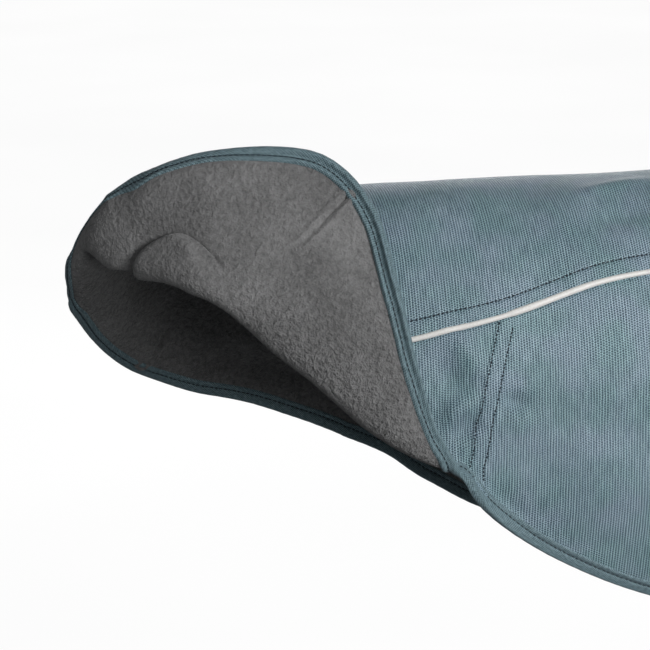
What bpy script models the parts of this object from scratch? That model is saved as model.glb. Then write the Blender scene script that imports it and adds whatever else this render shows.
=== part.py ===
"""Waterproof dog coat with a fleece lining, filled out as when it is worn, one rear corner turned back.

Metres, +Z up, +X towards the neck, -Y the near side, whose rear corner is turned back over the outside.
The origin is under the lining on the middle of the back, where the wearer's back carries the coat.
The tables and the cloth's sizes are in millimetres, which MM turns into metres.

The cloth is one smooth surface. Its sections run down both sides from the spine to the hem, and every
piece is a wall or an edge worked out from that surface: u counts the sections from the neck, and a
share from -1 (near hem) over 0 (spine) to 1 (far hem) runs round the coat.
"""
from functools import lru_cache

import bpy
import numpy as np

MM = 0.001

# Thickness of each layer, measured outwards from the surface between shell and lining
GAP = 0.3
SHELL_OUTER = 1.2
LINING_OUTER, LINING_INNER = -GAP, -2.3
BINDING_WIDTH = 10.5
BINDING_THICK = 1.0
BINDING_GAP = 0.5
PIPING_RADIUS = 1.5
BAND_THICK = 2.0
PATCH_THICK = 1.3

# Sections from the neck to the tail. The cloth leaves the spine level, goes round a rounded body of the
# given depth and widths, and ends at the hem, "drop" below the spine. "roll" tips the tail sections, and
# "piping" is the distance of the piped seam from the spine.
SECTION_COLUMNS = (
    "spine_x", "spine_y", "spine_z", "depth", "near_width", "far_width", "square", "roll",
    "near_x", "far_x", "near_drop", "far_drop", "near_piping", "far_piping",
)
SECTIONS = {
    "neck":    (300,  0,  24, 168,  80,  80, 2.0,  0,  368,  368, 168, 168,  84,  84),
    "collar":  (262,  0,  12, 217,  97,  97, 2.1,  0,  360,  360, 217, 217,  92,  92),
    "chest":   (222,  0,   6, 266, 112, 112, 2.2,  0,  336,  336, 266, 266,  95,  95),
    "foreleg": (180,  0,   4, 302, 117, 117, 2.2,  0,  250,  250, 279, 279,  96,  96),
    "girth":   (125,  0,   3, 332, 116, 116, 2.2,  0,  142,  142, 272, 280,  96,  98),
    "waist":   (65,   0,   3, 340, 111, 113, 2.2,  0,   44,   52, 234, 271, 102.5, 104),
    "seam":    (12,   0,   2, 327, 107, 111, 2.2,  0,  -40,   -6, 172, 242, 123.5, 114),
    "loin":    (-22,  0,   2, 306, 102, 108, 2.2,  0,  -56,  -38, 172, 219, 126.5, 119),
    "flank":   (-60,  0,   1, 282,  97, 105, 2.2,  0,  -84,  -72, 172, 201, 130, 118),
    "hip":     (-95,  0,  -1, 260,  93, 102, 2.2,  0, -112, -104, 172, 185, 125, 111),
    "haunch":  (-130, 0,  -4, 239,  88,  98, 2.2,  0, -148, -139, 170, 168, 106,  97),
    "croup":   (-167, -1, -8, 222,  79,  98, 2.1,  4, -184, -178, 150, 145,  80,  76),
    "rump":    (-204, -3, -15, 195, 62,  96, 2.1, 10, -214, -217, 100, 108,  44,  52),
    "tail":    (-240, -3, -31, 150, 45,  78, 2.0, 24, -240, -250,  60,  48,  12,  30),
    "end":     (-270,  0, -52, 12,  38,  38, 2.0, 54, -262, -262,   4,   4,   4,  13),
}

# The turned-back corner. Each section leaves the body at an angle "leave" from the spine, swings out
# round the fold's lower edge in the direction of "turn", and comes up to the hem on the outside.
FOLD_COLUMNS = (
    "leave", "edge_x", "edge_y", "edge_z", "turn_x", "turn_y", "turn_z", "hem_x", "hem_y", "hem_z",
)
FOLD = {
    "seam":   (80,  -33, -109, -158, 2, -10, -10, -30, -116, -164),
    "loin":   (74,  -59, -114, -148, 6, -40, -4,  -56, -117, -119),
    "flank":  (64,  -87, -115, -130, 8, -50, -5,  -66, -116,  -75),
    "hip":    (57, -115, -112, -107, 8, -55, -6,  -72, -104,  -35),
    "haunch": (46, -146, -105,  -80, 8, -55, -6,  -83,  -80,    9),
    "croup":  (38, -176,  -89,  -57, 8, -52, -4, -113,  -59,   36),
    "rump":   (28, -206,  -68,  -45, 6, -46,  0, -166,  -46,   40),
    "tail":   (14, -237,  -36,  -42, 4, -30,  6, -207,  -38,   28),
    "end":    ( 4, -269,   -6,  -43, 2,  -8, 16, -247,  -23,    4),
}
SECTION_ROWS = np.array(list(SECTIONS.values()), float)
FOLD_ROWS = np.array(list(FOLD.values()), float)
CHEST = list(SECTIONS).index("chest")
GIRTH = list(SECTIONS).index("girth")
SEAM = list(SECTIONS).index("seam")
LAST = len(SECTIONS) - 1

# Rows of the mesh, as places between the sections: a row beside each bound edge lies one binding's width in
NECK_EDGE = 0.22
CHEST_EDGE = 0.24
CHEST_OPEN = 0.08
TAIL_EDGE = 0.27
SPLIT = 0.004
PIPING_CLEAR = 0.04
BAND_ROWS = [GIRTH - 0.75, GIRTH - 0.2]
ROWS = [0, NECK_EDGE, 1, CHEST - CHEST_EDGE, CHEST, CHEST + CHEST_OPEN, 2.4, 3, *BAND_ROWS, 4.7, 5.1, 5.4, 5.65, 5.85,
        SEAM, 6.2, 6.45, 6.7, 7, 7.5, 8, 8.5, 9, 9.5, 10, 10.5, 11, 12, 12.5, 13, 13.5, LAST - TAIL_EDGE, LAST]
BACK_STEPS = {"near": 4, "far": 4}
SIDE_STEPS = {"near": 9, "far": 4}
TURN_WEIGHT = 15
LEAST_SLANT = 0.6

# The belly band lies on these columns of the side panels, counted from their piped seams
BAND_FIRST = {"near": 4, "far": 2}
BAND_UNDER_STEPS = 8
BAND_SAG = 1.42
BAND_SHARE = 0.97
PATCH_COLUMNS = (5, 8)

COLOURS = {
    "shell": (0.150, 0.225, 0.255), "lining": (0.125, 0.120, 0.115), "binding": (0.075, 0.135, 0.150),
    "piping": (0.740, 0.730, 0.690), "patch": (0.020, 0.022, 0.024),
}
ROUGHNESS = {"shell": 0.55, "lining": 0.95, "binding": 0.65, "piping": 0.35, "patch": 0.90}


def smooth(table, u):
    """A table's values at u, on a smooth curve through its rows."""
    k = int(min(max(u, 0), len(table) - 2))
    t = u - k
    here, there = table[k], table[k + 1]
    before = table[k - 1] if k else 2 * here - there
    after = table[k + 2] if k + 2 < len(table) else 2 * there - here
    slope = (there - before) / 2
    end_slope = (after - here) / 2
    return hermite(here, slope, there, end_slope, t)


def hermite(start, start_slope, end, end_slope, t):
    """The cubic from start to end with the given slopes, at t from 0 to 1."""
    return (start * (2 * t**3 - 3 * t**2 + 1) + start_slope * (t**3 - 2 * t**2 + t)
            + end * (3 * t**2 - 2 * t**3) + end_slope * (t**3 - t**2))


def section(u):
    return dict(zip(SECTION_COLUMNS, smooth(SECTION_ROWS, u)))


def signed_power(value, power):
    return np.sign(value) * np.abs(value) ** power


def hem_angle(row, side):
    """The angle round the body at which one side's cloth has dropped to its hem."""
    level = 1 - 2 * min(row[side + "_drop"] / row["depth"], 1)
    return np.arccos(signed_power(level, row["square"] / 2))


def ring(row, side, angles):
    """Points at the angles from the spine, down one side of a section's rounded body."""
    power = 2 / row["square"]
    down = (1 - signed_power(np.cos(angles), power)) / 2
    out = row[side + "_width"] * signed_power(np.sin(angles), power) * (1 if side == "far" else -1)
    along = (1 - np.cos(angles)) / (1 - np.cos(hem_angle(row, side)))
    fall = -row["depth"] * down
    roll = np.radians(row["roll"])
    return np.stack([
        row["spine_x"] + (row[side + "_x"] - row["spine_x"]) * along,
        row["spine_y"] + out * np.cos(roll) + fall * np.sin(roll),
        row["spine_z"] + fall * np.cos(roll) - out * np.sin(roll),
    ], -1)


def distances(line):
    """The distance run at each point of a line."""
    return np.concatenate([[0], np.cumsum(np.linalg.norm(np.diff(line, axis=0), axis=1))])


def spaced(line, count=241):
    """The line again, as evenly spaced points."""
    run = distances(line)
    even = np.linspace(0, run[-1], count)
    return np.stack([np.interp(even, run, line[:, axis]) for axis in range(3)], -1)


def plain_side(u, side):
    row = section(u)
    return spaced(ring(row, side, np.linspace(0, hem_angle(row, side), 120)))


def folded_side(u):
    """The near side where its corner is turned back: body, fold edge, and up to the hem."""
    row = section(u)
    fold = dict(zip(FOLD_COLUMNS, smooth(FOLD_ROWS, u - SEAM)))
    edge, turn, hem = (np.array([fold[f"{name}_{axis}"] for axis in "xyz"]) for name in ("edge", "turn", "hem"))
    body = ring(row, "near", np.linspace(0, np.radians(fold["leave"]), 60))
    way = body[-1] - body[-2]
    fall = way / np.linalg.norm(way) * 1.5 * np.linalg.norm(edge - body[-1])
    t = np.linspace(0, 1, 40)[1:, None]
    down = hermite(body[-1], fall, edge, turn, t)
    up = hermite(edge, turn, hem, (3 * (hem - edge) - turn) / 2, t)
    return spaced(np.concatenate([body, down, up]))


@lru_cache(maxsize=None)
def side_line(u, side):
    """One side of the cloth at u, from the spine to its hem."""
    if side == "far" or u <= SEAM - 1:
        return plain_side(u, side)
    if u >= SEAM:
        return folded_side(u)
    t = u - (SEAM - 1)
    share = t * t * (3 - 2 * t)
    return (1 - share) * plain_side(u, side) + share * folded_side(u)


def length(u, side):
    return distances(side_line(u, side))[-1]


def place(u, shares):
    """Points of the cloth's surface at u, at shares from -1 (near hem) to 1 (far hem)."""
    whole = np.concatenate([side_line(u, "near")[:0:-1], side_line(u, "far")])
    at = (np.clip(shares, -1, 1) + 1) / 2 * (len(whole) - 1)
    return np.stack([np.interp(at, np.arange(len(whole)), whole[:, axis]) for axis in range(3)], -1)


def outward(u, shares):
    """The surface's outward directions at the same places."""
    step, reach = 0.03, 0.012
    shares = np.asarray(shares)
    back = place(min(u + step, LAST), shares) - place(max(u - step, 0), shares)
    across = place(u, shares + reach) - place(u, shares - reach)
    normal = np.cross(across, back)
    return normal / np.linalg.norm(normal, axis=-1, keepdims=True)


def binding_depth(u, side):
    """How far in from the hem, down the section, the binding's inner edge lies."""
    if u < CHEST:
        return BINDING_WIDTH
    step = 0.03
    ahead, behind = (side_line(min(max(v, CHEST), LAST), side)[-1] for v in (u - step, u + step))
    hem_way = behind - ahead
    row_way = side_line(u, side)[-1] - side_line(u, side)[-6]
    slant = np.linalg.norm(np.cross(hem_way, row_way)) / (np.linalg.norm(hem_way) * np.linalg.norm(row_way))
    return BINDING_WIDTH / max(slant, LEAST_SLANT)


def side_shares(u, side):
    """Shares of the mesh's columns on one side panel, closer together where the cloth turns sharply."""
    line = side_line(u, side)
    run = distances(line)
    hem = run[-1] - (GAP / 2 if u <= CHEST else 0)
    inner = hem - binding_depth(u, side)
    piping = section(u)[side + "_piping"] + GAP / 2
    ways = np.diff(line, axis=0) / np.diff(run)[:, None]
    turned = np.cumsum(np.linalg.norm(np.diff(ways, axis=0), axis=1))
    effort = run + TURN_WEIGHT * np.concatenate([[0], turned, turned[-1:]])
    ends = np.interp([piping, inner], run, effort)
    columns = np.interp(np.linspace(*ends, SIDE_STEPS[side] + 1), effort, run)
    return np.append(columns, hem) / run[-1]


def back_shares(u, side):
    """Shares of the columns on one half of the back panel, from the spine to its piped seam."""
    edge = section(u)[side + "_piping"] - GAP / 2
    return np.linspace(0, edge, BACK_STEPS[side] + 1) / length(u, side)


def back_columns(u):
    return np.concatenate([-back_shares(u, "near")[:0:-1], back_shares(u, "far")])


def side_columns(u, side):
    shares = side_shares(u, side)
    return shares if side == "far" else -shares[::-1]


def all_columns(u):
    """The columns right across the coat."""
    return np.concatenate([side_columns(u, "near"), back_columns(u), side_columns(u, "far")])


def splits_ahead(u, share):
    """Whether a cell's diagonal joins its nearer-to-the-neck, nearer-to-the-near-hem corner to the opposite one.

    It meets the corners of the bound edges, so that shell, lining and binding have the same facets.
    """
    return (u < CHEST) == (share < 0)


def make_material(name, kind):
    material = bpy.data.materials.new(name)
    material.use_nodes = True
    shader = material.node_tree.nodes["Principled BSDF"]
    shader.inputs["Base Color"].default_value = (*COLOURS[kind], 1)
    shader.inputs["Roughness"].default_value = ROUGHNESS[kind]
    shader.inputs["Metallic"].default_value = 0
    return material


def add_object(coat, name, kind, data):
    part = bpy.data.objects.new(name, data)
    data.materials.append(make_material(name, kind))
    coat.objects.link(part)
    return part


def add_mesh(coat, name, kind, points, faces):
    mesh = bpy.data.meshes.new(name)
    mesh.from_pydata((np.reshape(points, (-1, 3)) * MM).tolist(), [], faces)
    mesh.shade_smooth()
    mesh.set_sharp_from_angle(angle=np.radians(40))
    return add_object(coat, name, kind, mesh)


def cloth(rows, columns):
    """The points, outward directions and diagonals of a grid of the coat's cloth."""
    shares = np.array([columns(u) for u in rows])
    points = np.array([place(u, row) for u, row in zip(rows, shares)])
    normals = np.array([outward(u, row) for u, row in zip(rows, shares)])
    ahead = [[splits_ahead((u + v) / 2, sum(pair)) for pair in zip(row, row[1:])]
             for u, v, row in zip(rows, rows[1:], shares)]
    return points, normals, ahead


def add_wall(coat, name, kind, grid, inner, outer):
    """A wall between two distances from a grid of cloth, closed round its edges."""
    points, normals, ahead = grid
    count = points.shape[0] * points.shape[1]
    number = np.arange(count).reshape(points.shape[:2])
    faces = []
    for i, j in np.ndindex(number.shape[0] - 1, number.shape[1] - 1):
        a, b, c, d = number[i, j], number[i, j + 1], number[i + 1, j + 1], number[i + 1, j]
        faces += [(a, b, c), (a, c, d)] if ahead[i][j] else [(a, b, d), (b, c, d)]
    inside = [(c + count, b + count, a + count) for a, b, c in faces]
    rim = np.concatenate([number[0, :-1], number[:-1, -1], number[-1, :0:-1], number[:0:-1, 0]])
    edge = []
    for here, beside in zip(rim, np.roll(rim, -1)):
        edge += [(beside, here, here + count), (beside, here + count, beside + count)]
    layers = [points + normals * distance for distance in (outer, inner)]
    return add_mesh(coat, name, kind, layers, faces + inside + edge)


def spot(place_on_cloth):
    """The point and outward direction at a (u, share) place, or halfway between two such places."""
    places = place_on_cloth if isinstance(place_on_cloth, list) else [place_on_cloth]
    points = [place(u, np.array([share]))[0] for u, share in places]
    normals = [outward(u, np.array([share]))[0] for u, share in places]
    return np.mean(points, axis=0), np.mean(normals, axis=0)


def binding_section(hem, inner, behind):
    """The eight corners of the tape's channel: over the shell, round the edge and under the lining."""
    (edge, edge_out), (start, start_out) = spot(hem), spot(inner)
    way = edge - spot(behind)[0]
    way -= edge_out * (way @ edge_out)
    way /= np.linalg.norm(way)
    top, bottom = SHELL_OUTER + BINDING_GAP, LINING_INNER - BINDING_GAP
    reach = BINDING_GAP + BINDING_THICK
    return [
        start + start_out * (top + BINDING_THICK),
        edge + edge_out * (top + BINDING_THICK) + way * reach,
        edge + edge_out * (bottom - BINDING_THICK) + way * reach,
        start + start_out * (bottom - BINDING_THICK),
        start + start_out * bottom,
        edge + edge_out * bottom + way * BINDING_GAP,
        edge + edge_out * top + way * BINDING_GAP,
        start + start_out * top,
    ]


def first_place(place_on_cloth):
    return place_on_cloth[0] if isinstance(place_on_cloth, list) else place_on_cloth


def add_binding(coat, name, path):
    """Tape folded over a closed edge, through sections at the path's (hem, inner, behind) places."""
    sections = np.array([binding_section(*step) for step in path])
    count, corners = sections.shape[:2]
    number = np.arange(count * corners).reshape(count, corners)
    faces = []
    for k in range(count):
        (hem_u, hem_share), (inner_u, inner_share) = first_place(path[k][0]), first_place(path[(k + 1) % count][1])
        ahead = (hem_u - inner_u) * (hem_share - inner_share) > 0
        from_hem = ahead == splits_ahead((hem_u + inner_u) / 2, hem_share)
        corner_first = (not from_hem, True, from_hem, True, not from_hem, False, from_hem, True)
        for n, first in enumerate(corner_first):
            a, b = number[k, n], number[k, (n + 1) % corners]
            d, c = number[(k + 1) % count, n], number[(k + 1) % count, (n + 1) % corners]
            if first:
                faces += [(c, b, a), (d, c, a)]
            else:
                faces += [(d, b, a), (d, c, b)]
    part = add_mesh(coat, name, "binding", sections, faces)
    weld = part.modifiers.new("shared corners", "WELD")
    weld.merge_threshold = 0.00001
    return part


def add_hem_binding(coat):
    """The tape round the lower edge, closed under the chest where both sides meet."""
    open_rows = [u for u in ROWS if u > CHEST]
    inside = ROWS[-2]
    chest = [(CHEST, all_columns(CHEST)[end]) for end in (0, -1)]
    chest_inner = [(CHEST - CHEST_EDGE, all_columns(CHEST - CHEST_EDGE)[end]) for end in (0, -1)]

    def side_steps(end, inner):
        steps = [(chest, (CHEST, all_columns(CHEST)[inner]), chest_inner)]
        for u in open_rows:
            start = (min(u, inside), all_columns(min(u, inside))[inner])
            steps.append(((u, all_columns(u)[end]), start, start))
        return steps

    tail = []
    for hem_share, share in list(zip(all_columns(LAST), all_columns(inside)))[1:-1]:
        tail.append(((LAST, hem_share), (inside, share), (inside, share)))
    path = [(chest, chest_inner, chest_inner)] + side_steps(0, 1) + tail + side_steps(-1, -2)[::-1]
    return add_binding(coat, "hem_binding", path)


def add_neck_binding(coat):
    """The tape round the neck, closed at the chest seam."""
    ends = [(0, all_columns(0)[end]) for end in (0, -1)]
    inner_ends = [(NECK_EDGE, all_columns(NECK_EDGE)[end]) for end in (0, -1)]
    path = [(ends, inner_ends, inner_ends)]
    for hem_share, share in list(zip(all_columns(0), all_columns(NECK_EDGE)))[-2:0:-1]:
        path.append(((0, hem_share), (NECK_EDGE, share), (NECK_EDGE, share)))
    return add_binding(coat, "neck_binding", path)


def add_piping(coat, side):
    """The piping cord, lying on the shell over its seam between the two bindings."""
    sign = -1 if side == "near" else 1
    end = {"near": LAST - 1, "far": LAST - TAIL_EDGE - PIPING_CLEAR}[side]
    run = [NECK_EDGE + PIPING_CLEAR] + [u for u in ROWS if NECK_EDGE < u < end] + [end]
    lift = SHELL_OUTER + GAP + PIPING_RADIUS
    curve = bpy.data.curves.new("piping_" + side, "CURVE")
    curve.dimensions = "3D"
    curve.bevel_depth = PIPING_RADIUS * MM
    curve.bevel_resolution = 1
    curve.use_fill_caps = True
    spline = curve.splines.new("POLY")
    spline.points.add(len(run) - 1)
    for point, u in zip(spline.points, run):
        share = np.array([sign * section(u)[side + "_piping"] / length(u, side)])
        centre = place(u, share) + outward(u, share) * lift
        point.co = (*(centre[0] * MM), 1)
    return add_object(coat, "piping_" + side, "piping", curve)


def under_belly(u, t):
    """The belly band's line from the far hem to the near hem, at t from 0 to 1."""
    far_start, far_hem, near_hem, near_start = place(u, np.array([BAND_SHARE, 1, -1, -BAND_SHARE]))
    reach = BAND_SAG * np.linalg.norm(near_hem - far_hem)
    leave = (far_hem - far_start) / np.linalg.norm(far_hem - far_start) * reach
    arrive = (near_start - near_hem) / np.linalg.norm(near_start - near_hem) * reach
    return hermite(far_hem, leave, near_hem, arrive, np.reshape(t, (-1, 1)))


def band_grid():
    """The belly band's grid: the far panel's own points, the line under the belly, and the near panel's."""
    t = np.linspace(0, 1, BAND_UNDER_STEPS + 1)[1:-1]
    step = 0.02
    points, normals = [], []
    for u in BAND_ROWS:
        far = side_columns(u, "far")[BAND_FIRST["far"]:]
        near = side_columns(u, "near")[:-BAND_FIRST["near"]]
        across = under_belly(u, t + step) - under_belly(u, t - step)
        normal = np.cross(across, under_belly(u + step, t) - under_belly(u - step, t))
        normal /= np.linalg.norm(normal, axis=-1, keepdims=True)
        points.append(np.concatenate([place(u, far), under_belly(u, t), place(u, near)]))
        normals.append(np.concatenate([outward(u, far), normal, outward(u, near)]))
    middle = sum(BAND_ROWS) / 2
    cells = [1] * (len(far) - 1) + [1] * BAND_UNDER_STEPS + [-1] * (len(near) - 1)
    return np.array(points), np.array(normals), [[splits_ahead(middle, share) for share in cells]], len(far)


def add_band(coat):
    """The belly band, sewn on the far side, and under it the patch that holds it on the near side."""
    on_shell = SHELL_OUTER + GAP
    over_patch = on_shell + PATCH_THICK + GAP
    *grid, far_count = band_grid()
    inner = np.full((grid[0].shape[1], 1), over_patch)
    inner[:far_count - 2] = on_shell
    add_wall(coat, "belly_band", "shell", grid, inner, inner + BAND_THICK)
    first, last = PATCH_COLUMNS
    patch = cloth(BAND_ROWS, lambda u: side_columns(u, "near")[::-1][first:last][::-1])
    add_wall(coat, "band_patch", "patch", patch, on_shell, on_shell + PATCH_THICK)


def build():
    for leftover in list(bpy.data.objects):
        bpy.data.objects.remove(leftover)
    coat = bpy.data.collections.new("waterproof_dog_coat")
    bpy.context.scene.collection.children.link(coat)

    front = [u for u in ROWS if u < SEAM] + [SEAM - SPLIT]
    rear = [SEAM + SPLIT] + [u for u in ROWS if u > SEAM]
    add_wall(coat, "back_panel", "shell", cloth(ROWS, back_columns), 0, SHELL_OUTER)
    for side in ("near", "far"):
        for name, rows in (("side_front_", front), ("side_rear_", rear)):
            panel = cloth(rows, lambda u: side_columns(u, side))
            add_wall(coat, name + side, "shell", panel, 0, SHELL_OUTER)
        add_piping(coat, side)
    add_wall(coat, "lining", "lining", cloth(ROWS, all_columns), LINING_INNER, LINING_OUTER)
    add_hem_binding(coat)
    add_neck_binding(coat)
    add_band(coat)


build()
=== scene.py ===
"""The waterproof dog coat as it is photographed: filled out with no wearer, one rear corner turned back.

The cloth's main surface is worked out as in the CAD model, in millimetres: u counts the sections from the
neck, and a share from -1 (near hem) over 0 (spine) to 1 (far hem) runs round the coat. Creases are added to
that surface, and every layer, edge and row of stitches is a sheet or a strip laid out on it.
"""

import bpy
import numpy as np
from mathutils import Matrix, Vector


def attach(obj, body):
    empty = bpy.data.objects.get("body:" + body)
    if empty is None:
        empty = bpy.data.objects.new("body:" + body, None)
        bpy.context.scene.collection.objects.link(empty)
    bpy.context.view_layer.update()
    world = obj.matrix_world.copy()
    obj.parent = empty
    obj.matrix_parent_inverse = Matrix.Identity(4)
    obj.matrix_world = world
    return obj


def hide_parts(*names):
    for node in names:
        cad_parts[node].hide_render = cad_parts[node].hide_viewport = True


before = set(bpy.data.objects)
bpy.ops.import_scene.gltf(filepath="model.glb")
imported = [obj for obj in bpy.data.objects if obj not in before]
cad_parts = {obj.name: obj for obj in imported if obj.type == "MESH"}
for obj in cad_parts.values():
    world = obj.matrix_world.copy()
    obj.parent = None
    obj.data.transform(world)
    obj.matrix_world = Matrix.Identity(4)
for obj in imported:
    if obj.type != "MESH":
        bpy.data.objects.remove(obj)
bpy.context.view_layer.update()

MM = 0.001
SIGN = {"near": -1, "far": 1}  # Which way each side lies from the spine

# The cut and the turned-back corner, as in the CAD model
SECTION_COLUMNS = (
    "spine_x", "spine_y", "spine_z", "depth", "near_width", "far_width", "square", "roll",
    "near_x", "far_x", "near_drop", "far_drop", "near_piping", "far_piping",
)
SECTIONS = {
    "neck": (300, 0, 24, 168, 80, 80, 2.0, 0, 368, 368, 168, 168, 84, 84),
    "collar": (262, 0, 12, 217, 97, 97, 2.1, 0, 360, 360, 217, 217, 92, 92),
    "chest": (222, 0, 6, 266, 112, 112, 2.2, 0, 336, 336, 266, 266, 95, 95),
    "foreleg": (180, 0, 4, 302, 117, 117, 2.2, 0, 250, 250, 279, 279, 96, 96),
    "girth": (125, 0, 3, 332, 116, 116, 2.2, 0, 142, 142, 272, 280, 96, 98),
    "waist": (65, 0, 3, 340, 111, 113, 2.2, 0, 44, 52, 234, 271, 102.5, 104),
    "seam": (12, 0, 2, 327, 107, 111, 2.2, 0, -40, -6, 172, 242, 123.5, 114),
    "loin": (-22, 0, 2, 306, 102, 108, 2.2, 0, -56, -38, 172, 219, 126.5, 119),
    "flank": (-60, 0, 1, 282, 97, 105, 2.2, 0, -84, -72, 172, 201, 130, 118),
    "hip": (-95, 0, -1, 260, 93, 102, 2.2, 0, -112, -104, 172, 185, 125, 111),
    "haunch": (-130, 0, -4, 239, 88, 98, 2.2, 0, -148, -139, 170, 168, 106, 97),
    "croup": (-167, -1, -8, 222, 79, 98, 2.1, 4, -184, -178, 150, 145, 80, 76),
    "rump": (-204, -3, -15, 195, 62, 96, 2.1, 10, -214, -217, 100, 108, 44, 52),
    "tail": (-240, -3, -31, 150, 45, 78, 2.0, 24, -240, -250, 60, 48, 12, 30),
    "end": (-270, 0, -52, 12, 38, 38, 2.0, 54, -262, -262, 4, 4, 4, 13),
}
FOLD_COLUMNS = ("leave", *(f"{name}_{axis}" for name in ("edge", "turn", "hem") for axis in "xyz"))
FOLD = {
    "seam": (80, -33, -109, -158, 2, -10, -10, -30, -116, -164),
    "loin": (74, -59, -114, -148, 6, -40, -4, -56, -117, -119),
    "flank": (64, -87, -115, -130, 8, -50, -5, -66, -116, -75),
    "hip": (57, -115, -112, -107, 8, -55, -6, -72, -104, -35),
    "haunch": (46, -146, -105, -80, 8, -55, -6, -83, -80, 9),
    "croup": (38, -176, -89, -57, 8, -52, -4, -113, -59, 36),
    "rump": (28, -206, -68, -45, 6, -46, 0, -166, -46, 40),
    "tail": (14, -237, -36, -42, 4, -30, 6, -207, -38, 28),
    "end": (4, -269, -6, -43, 2, -8, 16, -247, -23, 4),
}
SECTION_ROWS = np.array(list(SECTIONS.values()), float)
FOLD_ROWS = np.array(list(FOLD.values()), float)
CHEST = list(SECTIONS).index("chest")
GIRTH = list(SECTIONS).index("girth")
SEAM = list(SECTIONS).index("seam")
LAST = len(SECTIONS) - 1
RIPPLE_RUN = 62  # Millimetres that a step of u counts for in ripples along a seam
NECK_EDGE, CHEST_EDGE, TAIL_EDGE = 0.22, 0.24, 0.27  # How wide the binding is, in steps of u
FOLD_END, FOLD_FADE = 13.05, 0.55  # Where the fold starts to run out, and over how much of u
BAND_ROWS = (GIRTH - 0.75, GIRTH - 0.2)  # The belly band's two edges
BAND_STARTS = {"near": 4 / 9, "far": 1 / 2}  # How far down the side panel it starts
BAND_SAG = 1.42

# The u from which the lining can be seen from the tail end
SEEN_LINING = 5.2

# Heights of the layers above the surface between shell and lining
SHELL_TOP = 1.2
LINING_FACE = -2.3
TAPE_THICK = 0.9
TAPE_LEAST = 0.35
BINDING_WIDTH = 10.5
BINDING_STITCH = 6.8
PIPING_RADIUS = 1.9
TOPSTITCH = 11
LAP_STITCHES = (1.6, 10.6)
LAP_END, LAP_THICK = 12.5, 0.9
UNDERLAP = 2.5
BAND_THICK = 1.8

# How far the hem rolls outwards (degrees) where the coat ends, by x along each side
ROLLS = {
    "near": ((-262, 135), (-248, 118), (-232, 95), (-205, 68), (-178, 48), (-145, 14), (-120, 0)),
    "far": ((-262, 128), (-245, 108), (-230, 88), (-215, 76), (-190, 60), (-160, 40), (-110, 15), (-60, 0)),
}
ROLL_REACH = 20
ROLL_SPARE = 0.5

# How far the hem stands out from its cut round the tail end, by the distance along it from the near side
TAIL_EASE = (
    (0, 0), (100, 0), (130, -0.8), (160, -0.5), (180, 2), (205, 4), (218, 1.5), (230, -1), (242, 0), (262, 5),
    (280, 5), (300, 0.5), (315, -1.5), (330, -2), (340, -5), (350, -8.5), (362, -10), (376, -6.5), (390, -1),
    (410, 1.5), (440, 1), (470, -1), (505, -3), (540, -2), (570, -1.5), (600, 0),
)

# How far the fold's lower edge is drawn up, by u
FOLD_LIFT = (
    (8.5, 0), (9.5, 3), (10.2, 3.5), (10.8, 3), (11.4, 6.5), (12.2, 8), (12.8, 6), (13.2, 2), (13.5, 0),
)
FOLD_LIFT_REACH = 18

# How far the near hem is drawn in from its cut, by u
HEM_DRAW = (
    (6, 0), (6.5, 2), (7, 3), (7.5, 2.7), (8, 2.6), (8.5, 3.2), (9, 3.8), (9.5, 3.6), (10, 3), (10.5, 1.5),
    (11, 0),
)
HEM_DRAW_REACH = 25

# The u of the side seam's edge, by how far down the side panels it is (0 at the piping, 1 at the hem)
SEAM_EDGE = ((0, 5.95), (0.22, 5.95), (0.45, 5.93), (0.65, 5.91), (0.8, 5.88), (1, 5.9))

# How wide the tape's inner face lies along the near hem, by u, where it stands open
OPEN_TAPE = (
    (5.9, 10.5), (6.1, 7), (6.35, 7.5), (6.7, 10), (7, 12), (7.5, 13), (8, 13.6), (8.6, 13), (9, 12.6),
    (10, 13.4), (11, 12), (12, 10.5),
)

# How much the open tape swells and sinks, by u, and its two swells and the valley between them: height,
# distance from the outer edge and width
TAPE_RELIEF = ((6.2, 0), (6.8, 0.6), (7.5, 1), (9.5, 1), (10.5, 0.8), (11.5, 0.3), (12.5, 0))
TAPE_SWELLS = ((2.6, 3.1, 1.5), (1.3, 8.9, 1.1), (-1.6, 6.0, 1.2))

# How thick the near piping is, by u, against its usual size
PIPING_SWELL = ((3, 1.0), (4.4, 0.85), (5.0, 1.0), (5.3, 1.1), (5.78, 1.15), (5.86, 0.88), (7, 1.0), (9, 0.8))

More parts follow.
